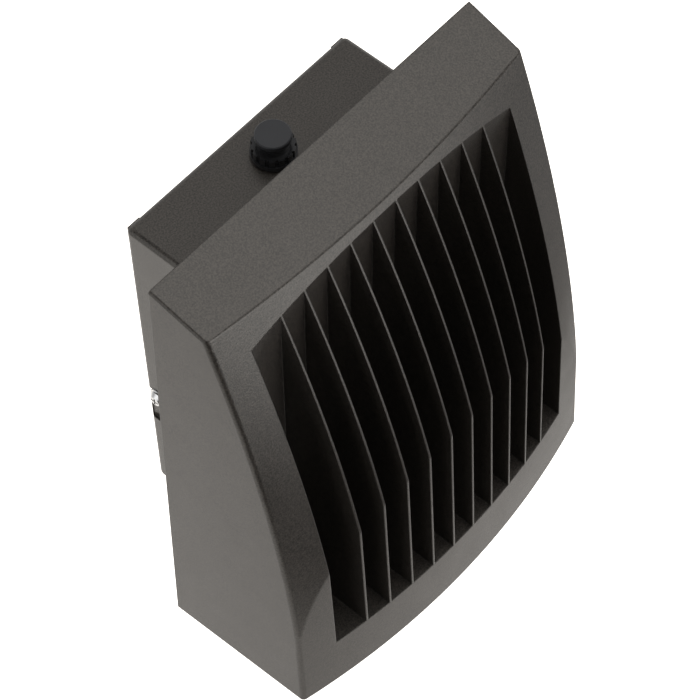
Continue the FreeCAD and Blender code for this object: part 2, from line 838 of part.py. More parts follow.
def back_box_lugs(body):
    inner = box_half_width(HALF_BOX) - D.box_wall
    for side, name in ((-1.0, "left"), (1.0, "right")):
        lug = new_sketch(body, name + "_lug_sketch", "YZ_Plane", side * (inner - D.lug_width))
        half = D.pivot_back - D.box_wall_gap
        add_rectangle(lug, -D.pivot_back - half, PIVOT_Z - D.lug_height, -D.pivot_back + half,
                      HALF_BOX - D.box_wall + D.web)
        pad(body, lug, name + "_lug", D.lug_width + D.web, reverse=side < 0)
    bore = circle_sketch(body, "rod_bore_sketch", "YZ_Plane", 0.0, [(-D.pivot_back, PIVOT_Z)],
                         D.rod_radius + D.rod_play)
    pocket(body, bore, "rod_bore", 2.0 * inner - D.clearance, both=True)


def back_box_notch(body, side):
    """The recess round a closing screw, open at the wall, the well under it and the screw's slot."""
    name = "left" if side < 0 else "right"
    outside = D.box_width_top / 2.0 + D.cut_margin
    face = box_half_width(-D.side_screw_drop)
    floor = face - D.notch_depth
    notch_low = SIDE_SCREW[1] - D.notch_drop
    notch = new_sketch(body, name + "_notch_sketch", "YZ_Plane", side * outside)
    add_rectangle(notch, SIDE_SCREW[0], notch_low, D.cut_margin, SIDE_SCREW[1] + D.notch_radius)
    pocket(body, notch, name + "_notch", outside - floor, reverse=side < 0)
    around = circle_sketch(body, name + "_screw_recess_sketch", "YZ_Plane", side * outside,
                           [SIDE_SCREW], D.notch_radius)
    pocket(body, around, name + "_screw_recess", outside - floor, reverse=side < 0)
    well = new_sketch(body, name + "_well_sketch", "YZ_Plane", side * outside)
    add_rectangle(well, SIDE_SCREW[0] - D.notch_front, notch_low - D.well_height,
                  -(D.box_wall_gap + D.well_rim), notch_low)
    pocket(body, well, name + "_well", outside - face + D.well_depth, reverse=side < 0)
    slot = new_sketch(body, name + "_slot_sketch", "YZ_Plane", side * outside)
    half = D.side_screw_radius + D.clearance
    add_rectangle(slot, SIDE_SCREW[0], SIDE_SCREW[1] - half, D.cut_margin, SIDE_SCREW[1] + half)
    through = outside - floor + D.box_wall
    pocket(body, slot, name + "_slot", through, reverse=side < 0)
    end = circle_sketch(body, name + "_slot_end_sketch", "YZ_Plane", side * outside, [SIDE_SCREW], half)
    pocket(body, end, name + "_slot_end", through, reverse=side < 0)


def back_box_openings(body):
    through = D.cut_margin + D.box_wall + D.web
    top = circle_sketch(body, "photocell_hole_sketch", "XY_Plane", HALF_BOX + D.cut_margin,
                        [PHOTOCELL], D.photocell_stem_radius + D.clearance)
    pocket(body, top, "photocell_hole", through)
    low = circle_sketch(body, "bottom_conduit_sketch", "XY_Plane", -(HALF_BOX + D.cut_margin),
                        [PHOTOCELL], D.conduit_radius)
    pocket(body, low, "bottom_conduit", through, reverse=True)
    screws = circle_sketch(body, "box_screw_sketch", "XZ_Plane", HEAD_BACK + D.cut_margin,
                           box_screw_places(), D.screw_radius + D.clearance)
    pocket(body, screws, "box_screw_holes", through)
    wires = circle_sketch(body, "grommet_hole_sketch", "XZ_Plane", HEAD_BACK + D.cut_margin,
                          [GROMMET], D.grommet_radius)
    pocket(body, wires, "grommet_hole", through)
    groove = new_sketch(body, "seal_groove_sketch", "XZ_Plane", HEAD_BACK)
    add_polygon(groove, box_trapezium(D.seal_inset))
    add_polygon(groove, box_trapezium(D.seal_inset + D.seal_width))
    pocket(body, groove, "seal_groove", D.seal_thickness)


def box_seal():
    body = new_body("box_seal")
    ring = new_sketch(body, "box_seal_outline", "XZ_Plane", HEAD_BACK - D.seal_thickness)
    add_polygon(ring, box_trapezium(D.seal_inset))
    add_polygon(ring, box_trapezium(D.seal_inset + D.seal_width))
    pad(body, ring, "box_seal_ring", D.seal_thickness)
    return body


SOCKET_FLOOR = 0.4
HALF_BOX = D.box_height / 2.0
PIVOT_Z = HALF_BOX - D.pivot_drop
SIDE_SCREW = (-D.side_screw_back, -D.side_screw_drop)
PHOTOCELL = (size(0.0), -D.photocell_back)
GROMMET = (D.grommet_x, -D.grommet_z)
SHELF_HOLE = (-D.shelf_hole_x, -(HEAD_BACK + D.shelf_hole_depth))


def row(name, places, make):
    """One solid per place, as a group."""
    return group(name, [make("%s_%d" % (name, i + 1), x, y) for i, (x, y) in enumerate(places)])


def screw(name, base, radius, length, head_radius, head_height, direction, back):
    """A screw whose head stands on base; direction points from the head into the hole."""
    shank = cylinder(name + "_shank", base, radius, length, direction)
    head = cylinder(name + "_head", base, head_radius, head_height, back)
    solid = joined(name + "_blank", [shank, head])
    return cut(name, solid, [hexagon(name + "_socket", base_of_socket(base, head_height, back),
                                     head_radius / 2.0, head_height, back)])


def base_of_socket(base, head_height, back):
    """A point on the screw's axis inside its head, above its seat."""
    axis = back.multVec(Vector(0, 0, 1))
    return tuple(size(value) + SOCKET_FLOOR * round(part_of, 3) * head_height
                 for value, part_of in zip(base, (axis.x, axis.y, axis.z)))


# Wall plate, its hooks and brackets, and the rod

def plate_half():
    return box_half_width(-HALF_BOX) - D.box_wall - D.plate_gap


def plate_top():
    return PIVOT_Z - D.lug_height - D.plate_drop


def wall_plate():
    low = -(HALF_BOX - D.plate_rise)
    sheet_solid = box("plate_sheet", (-plate_half(), -D.plate_thickness, low),
                      (2.0 * plate_half(), D.plate_thickness, plate_top() - low))
    return cut("wall_plate", sheet_solid, plate_holes())


def hanger_hooks():
    solids = []
    for side, name in ((-1.0, "left_hook"), (1.0, "right_hook")):
        low_x = side * D.hook_x - D.hook_width / 2.0
        front = -(D.pivot_back + D.hook_front)
        low_z = PIVOT_Z - D.hook_height
        seat = box(name + "_seat", (low_x, front, low_z),
                   (D.hook_width, -front - D.plate_thickness, D.hook_height - D.hook_drop))
        lip = box(name + "_lip", (low_x, front, PIVOT_Z - D.hook_drop),
                  (D.hook_width, D.hook_front - D.rod_radius - D.rod_play, D.hook_drop + D.hook_lip))
        bore = cylinder(name + "_bore", (low_x, -D.pivot_back, PIVOT_Z), D.rod_radius + D.rod_play,
                        D.hook_width, ALONG_X)
        solids.append(cut(name, joined(name + "_blank", [seat, lip]), [bore]))
    return group("hanger_hooks", solids)


def bracket_outside():
    return box_half_width(-D.side_screw_drop) - D.box_wall - D.bracket_gap


def screw_brackets():
    """Angle brackets riveted to the wall plate, with the closing screws' holes."""
    outside = bracket_outside()
    thick = D.plate_thickness
    low_z = -D.side_screw_drop - D.bracket_height / 2.0
    solids = []
    for side, name in ((-1.0, "left_bracket"), (1.0, "right_bracket")):
        wing_x = outside - thick if side > 0 else -outside
        foot_x = outside - D.bracket_foot if side > 0 else -outside
        rivet_x = side * (outside - D.rivet_inset)
        wing = box(name + "_wing", (wing_x, -D.bracket_reach, low_z),
                   (thick, D.bracket_reach - thick, D.bracket_height))
        foot = box(name + "_foot", (foot_x, -2.0 * thick, low_z), (D.bracket_foot, thick, D.bracket_height))
        rivets = [cylinder("%s_rivet_%d" % (name, i), (rivet_x, -2.0 * thick, -D.side_screw_drop + dz),
                           D.rivet_radius, D.rivet_height, ALONG_MINUS_Y)
                  for i, dz in enumerate((-D.bracket_height / 4.0, D.bracket_height / 4.0))]
        hole = cylinder(name + "_hole", (side * outside - thick, -D.side_screw_back, -D.side_screw_drop),
                        D.side_screw_radius + D.thread_play, 2.0 * thick, ALONG_X)
        solids.append(cut(name, joined(name + "_blank", [wing, foot] + rivets), [hole]))
    return group("screw_brackets", solids)


def plate_holes():
    reach = D.plate_thickness + 2.0 * D.cut_margin
    front = -D.plate_thickness - D.cut_margin
    tools = [cylinder("wire_hole", (0.0, front, 0.0), D.wire_hole_radius, reach, ALONG_Y)]
    half_slot = D.slot_length / 2.0 - D.slot_radius
    none = size(0.0)
    for i, (x, z, along_x) in enumerate(slot_places()):
        dx, dz = (half_slot, none) if along_x else (none, half_slot)
        side_x, side_z = (none, D.slot_radius) if along_x else (D.slot_radius, none)
        for j, sign in enumerate((-1.0, 1.0)):
            tools.append(cylinder("slot_end_%d_%d" % (i, j), (x + sign * dx, front, z + sign * dz),
                                  D.slot_radius, reach, ALONG_Y))
        tools.append(box("slot_%d" % i, (x - dx - side_x, front, z - dz - side_z),
                         (2.0 * (dx + side_x), reach, 2.0 * (dz + side_z))))
    corners = [(sx * D.wall_hole_x / 2.0, sz * D.wall_hole_z / 2.0) for sx in (-1.0, 1.0) for sz in (-1.0, 1.0)]
    for i, (x, z) in enumerate(corners):
        tools.append(cylinder("wall_hole_%d" % i, (x, front, z), D.wall_hole_radius, reach, ALONG_Y))
    tools.append(cylinder("ground_hole", (D.ground_x, front, -D.ground_drop), D.screw_radius + D.thread_play,
                          reach, ALONG_Y))
    return tools


def slot_places():
    half_octagon = D.octagon_spacing / 2.0
    half_gang = D.gang_spacing / 2.0
    none = size(0.0)
    return [(-half_octagon, none, True), (half_octagon, none, True),
            (none, -half_gang, False), (none, half_gang, False)]


def hanger_rod():
    half = box_half_width(HALF_BOX) - D.box_wall - D.clearance * 2.0
    return cylinder("hanger_rod", (-half, -D.pivot_back, PIVOT_Z), D.rod_radius, 2.0 * half, ALONG_X)


def closing_screw(side):
    """The bright screw at a side of the box, with its washer."""
    name = "left" if side < 0 else "right"
    outward = ALONG_MINUS_X if side < 0 else ALONG_X
    inward = ALONG_X if side < 0 else ALONG_MINUS_X
    seat = side * (box_half_width(-D.side_screw_drop) - D.notch_depth + D.thread_play)
    head_seat = seat + side * D.side_washer_thickness
    y, z = SIDE_SCREW
    shank = cylinder(name + "_shank", (head_seat, y, z), D.side_screw_radius, D.side_screw_length, inward)
    rim = cylinder(name + "_head_rim", (head_seat, y, z), D.side_head_radius, D.side_rim_height, outward)
    dome = cone(name + "_head_dome", (head_seat + side * D.side_rim_height, y, z), D.side_head_radius,
                D.side_crown_radius, D.side_head_height - D.side_rim_height, outward)
    blank = joined(name + "_screw_blank", [shank, rim, dome])
    floor = head_seat + side * D.side_recess_floor
    low_x = floor if side > 0 else floor - D.side_head_height
    slots = []
    for i in range(2):
        wide = D.side_recess_length if i == 0 else D.side_recess_width
        high = D.side_recess_width if i == 0 else D.side_recess_length
        slots.append(box("%s_recess_%d" % (name, i), (low_x, y - wide / 2.0, z - high / 2.0),
                         (D.side_head_height, wide, high)))
    cut("side_screw_" + name, blank, slots)
    disc = cylinder(name + "_washer_disc", (seat, y, z), D.side_washer_radius, D.side_washer_thickness, outward)
    bore = cylinder(name + "_washer_bore", (seat, y, z), D.side_screw_radius + D.thread_play,
                    D.side_washer_thickness, outward)
    cut("side_washer_" + name, disc, [bore])


def ground_screw():
    return screw("ground_screw", (D.ground_x, -D.plate_thickness, -D.ground_drop), D.screw_radius, D.plate_thickness,
                 D.screw_head_radius, D.screw_head_height, ALONG_Y, ALONG_MINUS_Y)


# Fasteners between box, cover and head

def cover_screws():
    length = D.cover_thickness + D.boss_hole_depth - D.screw_end_gap
    return row("rear_cover_screws", cover_screw_places(),
               lambda name, x, z: screw(name, (x, -HEAD_BACK, z), D.screw_radius, length, D.screw_head_radius,
                                        D.screw_head_height, ALONG_MINUS_Y, ALONG_Y))


def box_screws():
    seat = -(D.box_depth - D.box_wall)
    length = D.box_wall + D.cover_thickness + D.boss_hole_depth - D.screw_end_gap
    return row("box_screws", box_screw_places(),
               lambda name, x, z: screw(name, (x, seat, z), D.screw_radius, length, D.screw_head_radius,
                                        D.screw_head_height, ALONG_MINUS_Y, ALONG_Y))


def cable_grommet():
    x, z = GROMMET
    outer = D.grommet_radius - D.thread_play
    rim = outer + D.grommet_rim
    rear_y = -(D.box_depth - D.box_wall)
    front_y = -(HEAD_BACK + D.cover_thickness)
    barrel = cylinder("grommet_barrel", (x, front_y, z), outer, rear_y - front_y, ALONG_Y)
    rear = cylinder("grommet_rear", (x, rear_y, z), rim, D.grommet_flange, ALONG_Y)
    front = cylinder("grommet_front", (x, front_y, z), rim, D.grommet_flange, ALONG_MINUS_Y)
    bore = cylinder("grommet_hole", (x, front_y - D.cut_margin, z), D.grommet_bore,
                    rear_y - front_y + 2.0 * D.cut_margin, ALONG_Y)
    return cut("cable_grommet", joined("grommet_blank", [barrel, rear, front]), [bore])


# Light chamber

def board_solid(name, z_low, thickness, inset):
    half = D.board_width / 2.0 - inset
    back = HEAD_BACK + D.board_back + inset
    return box(name, (-half, -(back + D.board_length - 2.0 * inset), z_low),
               (2.0 * half, D.board_length - 2.0 * inset, thickness))


def board_holes(name):
    reach = D.cut_margin
    return [cylinder("%s_hole_%d" % (name, i), (x, y, SHELF_UNDER - reach), D.small_screw_radius + D.clearance,
                     reach) for i, (x, y) in enumerate(board_screw_places())]


def led_places():
    middle = -(HEAD_BACK + D.board_back + D.board_length / 2.0)
    places = []
    for row_number in range(LED_ROWS):
        y = middle + (row_number - (LED_ROWS - 1) / 2.0) * D.led_pitch_y
        for column in range(LED_COLUMNS):
            places.append(((column - (LED_COLUMNS - 1) / 2.0) * D.led_pitch_x, y))
    return places


def light_engine():
    pad_low = SHELF_UNDER - D.pad_thickness
    board_low = pad_low - D.board_thickness
    chip_low = board_low - D.led_height
    optic_high = chip_low - D.clearance
    optic_low = optic_high - D.optic_thickness
    cut("thermal_pad", board_solid("pad_sheet", pad_low, D.pad_thickness, size(0.0)), board_holes("pad"))
    cut("led_board", board_solid("board_sheet", board_low, D.board_thickness, size(0.0)), board_holes("board"))
    half = D.led_size / 2.0
    row("led_chips", led_places(), lambda name, x, y: box(name, (x - half, y - half, chip_low),
                                                          (D.led_size, D.led_size, D.led_height)))
    rim_height = board_low - optic_high
    sheet_solid = board_solid("optic_sheet", optic_low, D.optic_thickness, D.optic_inset)
    rim = cut("optic_rim", board_solid("optic_rim_outside", optic_high, rim_height, D.optic_inset),
              [board_solid("optic_rim_inside", optic_high, rim_height, D.optic_inset + D.optic_rim)])
    domes = [cone("optic_dome_%d" % i, (x, y, optic_low), D.optic_dome, D.optic_dome_end, D.optic_dome_height,
                  ALONG_MINUS_Z) for i, (x, y) in enumerate(led_places())]
    corners = optic_corners()
    cut("led_optics", joined("optics_blank", [sheet_solid, rim] + domes), corners)
    row("led_board_screws", board_screw_places(),
        lambda name, x, y: screw(name, (x, y, board_low), D.small_screw_radius,
                                 D.board_thickness + D.pad_thickness + D.shelf_thickness - 2.0 * D.web,
                                 D.small_head_radius, D.small_head_height, ALONG_Z, ALONG_MINUS_Z))


def optic_corners():
    """Room for the board's screws at the corners of the optic sheet."""
    reach = D.cut_margin
    return [cylinder("optic_corner_%d" % i, (x, y, SHELF_UNDER - reach), D.small_head_radius + D.optic_corner, reach)
            for i, (x, y) in enumerate(board_screw_places())]


def lens_ring(name, low, thickness, outer_wall, inner_wall, holes):
    body = new_body(name)
    sketch = new_sketch(body, name + "_outline", "XY_Plane", low)
    add_chamber_outline(sketch, outer_wall)
    if inner_wall is not None:
        add_chamber_outline(sketch, inner_wall)
    if holes is not None:
        for x, y in lens_screw_places():
            add_circle(sketch, x, y, holes)
    pad(body, sketch, name + "_pad", thickness)
    return body


def lens_parts():
    outer = D.lens_wall + D.lens_gap
    frame_low = HEAD_BOTTOM + D.frame_recess
    lens_low = frame_low + D.frame_thickness
    hole = D.small_screw_radius + D.clearance
    lens_ring("lens_frame", frame_low, D.frame_thickness, outer, D.frame_width + outer, hole)
    lens_ring("lens", lens_low, D.lens_thickness, outer, None, hole)
    lens_ring("lens_gasket", lens_low + D.lens_thickness, D.lens_gasket, outer, outer + D.lens_gasket_width, None)
    length = D.frame_thickness + D.lens_thickness + D.boss_hole_depth - D.screw_end_gap
    row("lens_frame_screws", lens_screw_places(),
        lambda name, x, y: screw(name, (x, y, frame_low), D.small_screw_radius, length, D.small_head_radius,
                                 D.small_head_height, ALONG_Z, ALONG_MINUS_Z))


# Driver and the parts in the box

def driver():
    floor = -(HEAD_BACK + CAVITY_FRONT - D.driver_stand)
    low_x = D.driver_x - D.driver_length / 2.0
    low_z = D.driver_z - D.driver_width / 2.0
    lid = D.driver_lid
    case = box("driver_block", (low_x, floor, low_z), (D.driver_length, D.driver_height - lid, D.driver_width))
    foot_width = D.driver_foot
    feet = []
    for name, x in (("left_foot", low_x - foot_width), ("right_foot", low_x + D.driver_length)):
        feet.append(box(name, (x, floor, D.driver_z - foot_width), (foot_width, D.driver_foot_thickness,
                                                                   2.0 * foot_width)))
    holes = [cylinder("foot_hole_%d" % i, (x, floor - D.web, z), D.small_screw_radius + D.clearance,
                      D.driver_foot_thickness + 2.0 * D.web, ALONG_Y)
             for i, (x, z) in enumerate(driver_screw_places())]
    cut("driver_case", joined("driver_blank", [case] + feet), holes)
    box("driver_lid", (low_x, floor + D.driver_height - lid, low_z), (D.driver_length, lid, D.driver_width))
    row("driver_screws", driver_screw_places(),
        lambda name, x, z: screw(name, (x, floor + D.driver_foot_thickness, z), D.small_screw_radius,
                                 D.driver_foot_thickness + D.driver_stand - D.web, D.small_head_radius,
                                 D.small_head_height, ALONG_MINUS_Y, ALONG_Y))
    return floor


def box_contents():
    wall = -(D.box_depth - D.box_wall)
    box("surge_protector", (-D.surge_length - D.surge_x, wall, -D.surge_width - D.surge_z),
        (D.surge_length, D.surge_height, D.surge_width))
    splices = [box("splice_%d" % (i + 1), (splice_x(i) - D.splice_width / 2.0, wall, D.splice_z),
                   (D.splice_width, D.splice_height, D.splice_length)) for i in range(3)]
    group("splice_connectors", splices)


def splice_x(i):
    return GROMMET[0] + (i - 1.0) * D.splice_pitch


# Photocell and plug

def ring(name, base, outer, inner, height, direction=ALONG_Z):
    disc = cylinder(name + "_disc", base, outer, height, direction)
    bore = cylinder(name + "_bore", base, inner, height, direction)
    return cut(name, disc, [bore])


def photocell():
    x, y = PHOTOCELL
    top = HALF_BOX
    flange_low = top + D.photocell_gasket
    ring_low = flange_low + D.photocell_flange
    cap_low = top + D.photocell_height - D.photocell_cap_height
    stem_radius = D.photocell_stem_radius
    neck = D.photocell_cap_radius - D.photocell_neck
    ring("photocell_gasket", (x, y, top), D.photocell_base_radius - D.photocell_neck, stem_radius + D.thread_play,
         D.photocell_gasket)
    stem = cylinder("photocell_stem", (x, y, top - D.photocell_stem_length), stem_radius,
                    D.photocell_stem_length + D.photocell_gasket)
    flange = cylinder("photocell_flange", (x, y, flange_low), D.photocell_base_radius, D.photocell_flange)
    barrel = cylinder("photocell_barrel", (x, y, ring_low), neck, cap_low - ring_low)
    joined("photocell_body", [stem, flange, barrel])
    bevel = D.photocell_cap_bevel
    rim = cylinder("cap_rim", (x, y, cap_low), D.photocell_cap_radius, D.photocell_cap_height - bevel)
    crown = cone("cap_crown", (x, y, cap_low + D.photocell_cap_height - bevel), D.photocell_cap_radius,
                 D.photocell_cap_radius - bevel, bevel)
    joined("photocell_cap", [rim, crown])
    photocell_lock_ring(x, y, ring_low, neck)
    nut_low = top - D.box_wall - D.locknut_height
    nut = hexagon("locknut_block", (x, y, nut_low), D.locknut_radius, D.locknut_height)
    cut("photocell_locknut", nut, [cylinder("locknut_bore", (x, y, nut_low), stem_radius + D.thread_play,
                                            D.locknut_height)])


def photocell_lock_ring(x, y, low, neck):
    """A ring with a notch at each of its even steps round the edge."""
    radius = D.photocell_ring_radius
    height = D.photocell_ring_height
    tools = [cylinder("lock_bore", (x, y, low), neck + D.thread_play, height)]
    for i in range(RING_NOTCHES):
        angle = 2.0 * math.pi * i / RING_NOTCHES
        notch_x = x + radius * round(math.cos(angle), 6)
        notch_y = y + radius * round(math.sin(angle), 6)
        tools.append(cylinder("lock_notch_%d" % i, (notch_x, notch_y, low), D.lock_notch, height))
    cut("photocell_lock_ring", cylinder("lock_disc", (x, y, low), radius, height), tools)


def conduit_plug():
    x, y = PHOTOCELL
    low = -HALF_BOX
    stem_radius = D.conduit_radius - D.thread_play
    ring("conduit_plug_ring", (x, y, low - D.plug_ring), D.plug_head_radius - D.plug_ring_inset,
         stem_radius + D.thread_play, D.plug_ring)
    head_high = low - D.plug_ring
    head = cylinder("plug_head", (x, y, head_high), D.plug_head_radius, D.plug_head_height, ALONG_MINUS_Z)
    stem = cylinder("plug_stem", (x, y, head_high), stem_radius, D.plug_ring + 3.0 * D.box_wall)
    slot = box("plug_slot", (x - D.plug_head_radius, y - D.plug_slot_width / 2.0, head_high - D.plug_head_height),
               (2.0 * D.plug_head_radius, D.plug_slot_width, D.plug_slot_depth))
    cut("conduit_plug", joined("plug_blank", [head, stem]), [slot])


# Leads: straight runs and quarter bends

def lead(name, points):
    """A round lead through axis-parallel corners."""
    points = [tuple(size(value) for value in point) for point in points]
    legs = []
    for start, end in zip(points, points[1:]):
        for axis in range(3):
            change = end[axis].value - start[axis].value
            if abs(change) > 1e-6:
                legs.append((axis, 1.0 if change > 0 else -1.0))
    solids = []
    last = len(legs) - 1
    for i, (axis, sign) in enumerate(legs):
        start, end = points[i], points[i + 1]
        trim_low = D.lead_bend if i > 0 else size(0.0)
        trim_high = D.lead_bend if i < last else size(0.0)
        base = [start[k] + (sign * trim_low if k == axis else 0.0) for k in range(3)]
        length = sign * (end[axis] - start[axis]) - trim_low - trim_high
        direction = unit(axis, sign)
        solids.append(cylinder("%s_run_%d" % (name, i), base, D.lead_radius, length,
                               Rotation(Vector(0, 0, 1), direction)))
        if i < last:
            solids.append(bend("%s_bend_%d" % (name, i), points[i + 1], legs[i], legs[i + 1]))
    return joined(name, solids)


def unit(axis, sign):
    return Vector(*[sign if k == axis else 0.0 for k in range(3)])


def bend(name, corner, leg_in, leg_out):
    into, out = unit(*leg_in), unit(*leg_out)
    solid = doc.addObject("Part::Torus", name)
    bind(solid, "Radius1", D.lead_bend)
    bind(solid, "Radius2", D.lead_radius)
    solid.Angle3 = 90
    offset = out - into
    centre = [corner[k] + round((offset.x, offset.y, offset.z)[k]) * D.lead_bend for k in range(3)]
    place(solid, *centre, rotation=Rotation(-out, into, into.cross(out), "ZXY"))
    return solid


def led_leads():
    low_x = D.driver_x - D.driver_length / 2.0
    board_face = SHELF_UNDER - D.pad_thickness - D.board_thickness
    x, hole_y = SHELF_HOLE
    level = board_face - D.lead_radius
    for name, side in (("led_lead_positive", 0.5), ("led_lead_negative", -0.5)):
        y = hole_y + side * D.lead_spread
        lead(name, [(low_x, y, D.driver_z), (x, y, D.driver_z), (x, y, level), (x + D.lead_end, y, level)])


def driver_leads(driver_floor):
    """From the driver's right end through the grommet to the splices."""
    start_x = D.driver_x + D.driver_length / 2.0
    start_z = D.driver_z - D.lead_down
    x, z = GROMMET
    level = D.lead_level - (D.box_depth - D.box_wall)
    half_spread = D.lead_spread / 2.0
    line_y = driver_floor + D.lead_turn - D.lead_spread
    neutral_y = line_y + 2.0 * D.lead_spread
    line_side = start_x + D.lead_side + D.lead_spread
    neutral_side = start_x + D.lead_side - D.lead_spread
    line_x = x - half_spread
    neutral_x = x + half_spread
    lead("driver_lead_line", [(start_x, line_y, start_z), (line_side, line_y, start_z), (line_side, line_y, z),
                              (line_x, line_y, z), (line_x, level, z), (line_x, level, D.splice_z)])
    lead("driver_lead_neutral", [(start_x, neutral_y, start_z), (neutral_side, neutral_y, start_z),
                                 (neutral_side, neutral_y, z), (neutral_x, neutral_y, z), (neutral_x, level, z),
                                 (splice_x(2), level, z), (splice_x(2), level, D.splice_z)])


def photocell_leads():
    x, y = PHOTOCELL
    low = HALF_BOX - D.photocell_stem_length
    level = D.splice_height / 2.0 - (D.box_depth - D.box_wall)
    splice_top = D.splice_z + D.splice_length
    for name, side, i in (("photocell_lead_line", -1.0, 0), ("photocell_lead_load", 1.0, 1)):
        turn = splice_top + D.photocell_lead_turn + 3.0 * side * D.photocell_lead_shift
        start_x = x + side * D.photocell_lead_shift
        lead(name, [(start_x, y, low), (start_x, y, turn), (start_x, level, turn), (splice_x(i), level, turn),
                    (splice_x(i), level, splice_top)])


NODES = [
    "wall_plate", "hanger_hooks", "screw_brackets", "ground_screw", "side_screw_left", "side_washer_left",
    "side_screw_right", "side_washer_right", "hanger_rod", "back_box", "box_seal", "box_screws",
    "front_housing", "rear_cover", "rear_cover_gasket", "rear_cover_screws", "cable_grommet", "driver_case",
    "driver_lid", "driver_screws", "surge_protector", "splice_connectors", "led_lead_positive",
    "led_lead_negative", "driver_lead_line", "driver_lead_neutral", "photocell_lead_line",
    "photocell_lead_load", "thermal_pad", "led_board", "led_chips", "led_optics", "led_board_screws",
    "lens", "lens_gasket", "lens_frame", "lens_frame_screws", "photocell_body", "photocell_cap",
    "photocell_lock_ring", "photocell_gasket", "photocell_locknut", "conduit_plug", "conduit_plug_ring",
]


def build():
    front_housing()
    rear_cover()
    rear_cover_gasket()
    back_box()
    box_seal()
    wall_plate()
    hanger_hooks()
    screw_brackets()
    hanger_rod()
    ground_screw()
    for side in (-1.0, 1.0):
        closing_screw(side)
    cover_screws()
    box_screws()
    cable_grommet()
    light_engine()
    lens_parts()
    driver_floor = driver()
    box_contents()
    photocell()
    conduit_plug()
    led_leads()
    driver_leads(driver_floor)
    photocell_leads()


def check_and_write():
    doc.recompute()
    for obj in doc.Objects:
        if "Invalid" in obj.State or "Error" in obj.State:
            raise RuntimeError("%s is not computed: %s" % (obj.Name, obj.State))
    os.makedirs("parts", exist_ok=True)
    for name in NODES:
        obj = doc.getObject(name)
        obj.Label = name
        shape = obj.Shape
        if shape.isNull() or not shape.isValid() or not shape.Solids:
            raise RuntimeError("%s has no valid solid" % name)
    for name in NODES:
        doc.getObject(name).Shape.exportStep("parts/%s.step" % name)


build()
check_and_write()
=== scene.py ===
"""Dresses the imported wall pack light: materials, camera, floor and soft studio light. Lengths are metres."""
import json
import math
from collections import namedtuple

import bpy
from mathutils import Euler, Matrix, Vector

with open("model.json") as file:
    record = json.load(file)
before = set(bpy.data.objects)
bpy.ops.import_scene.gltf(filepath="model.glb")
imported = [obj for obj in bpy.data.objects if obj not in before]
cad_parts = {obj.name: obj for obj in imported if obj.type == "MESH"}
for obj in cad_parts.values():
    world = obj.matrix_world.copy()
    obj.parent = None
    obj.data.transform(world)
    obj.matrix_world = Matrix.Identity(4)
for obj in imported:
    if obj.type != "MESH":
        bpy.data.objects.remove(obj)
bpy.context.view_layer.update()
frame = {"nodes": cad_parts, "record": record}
scene = bpy.context.scene


# ---- Nodes ----

def feed(tree, socket, value):
    """Links an input to another node's output, or sets it to a number or a colour."""
    if isinstance(value, bpy.types.NodeSocket):
        tree.links.new(value, socket)
    elif socket.type == "RGBA":
        socket.default_value = (*value, 1.0)
    else:
        socket.default_value = value


def add_node(tree, kind, **inputs):
    """Adds a node and feeds its inputs. An underscore in a name stands for a space."""
    node = tree.nodes.new(kind)
    for name, value in inputs.items():
        feed(tree, node.inputs[name.replace("_", " ")], value)
    return node


# A value that goes softly from one to another while the way along a direction goes from start to end
Step = namedtuple("Step", "direction start end before after")


def step_value(tree, place, step):
    way = tree.nodes.new("ShaderNodeVectorMath")
    way.operation = "DOT_PRODUCT"
    feed(tree, way.inputs[0], place)
    feed(tree, way.inputs[1], Vector(step.direction).normalized())
    node = add_node(
        tree,
        "ShaderNodeMapRange",
        Value=way.outputs["Value"],
        From_Min=step.start,
        From_Max=step.end,
        To_Min=step.before,
        To_Max=step.after,
    )
    node.interpolation_type = "SMOOTHSTEP"
    return node.outputs["Result"]


def combine(tree, operation, first, others):
    """Adds or multiplies the first value and each of the others."""
    for other in others:
        node = tree.nodes.new("ShaderNodeMath")
        node.operation = operation
        feed(tree, node.inputs[0], first)
        feed(tree, node.inputs[1], other)
        first = node.outputs["Value"]
    return first


def mix_shaders(tree, share, first, second):
    """The first shader where the share is 0, the second where it is 1."""
    node = tree.nodes.new("ShaderNodeMixShader")
    for socket, value in zip(node.inputs, (share, first.outputs[0], second.outputs[0])):
        feed(tree, socket, value)
    return node.outputs["Shader"]


def is_camera_ray(tree):
    return tree.nodes.new("ShaderNodeLightPath").outputs["Is Camera Ray"]


# ---- Materials ----

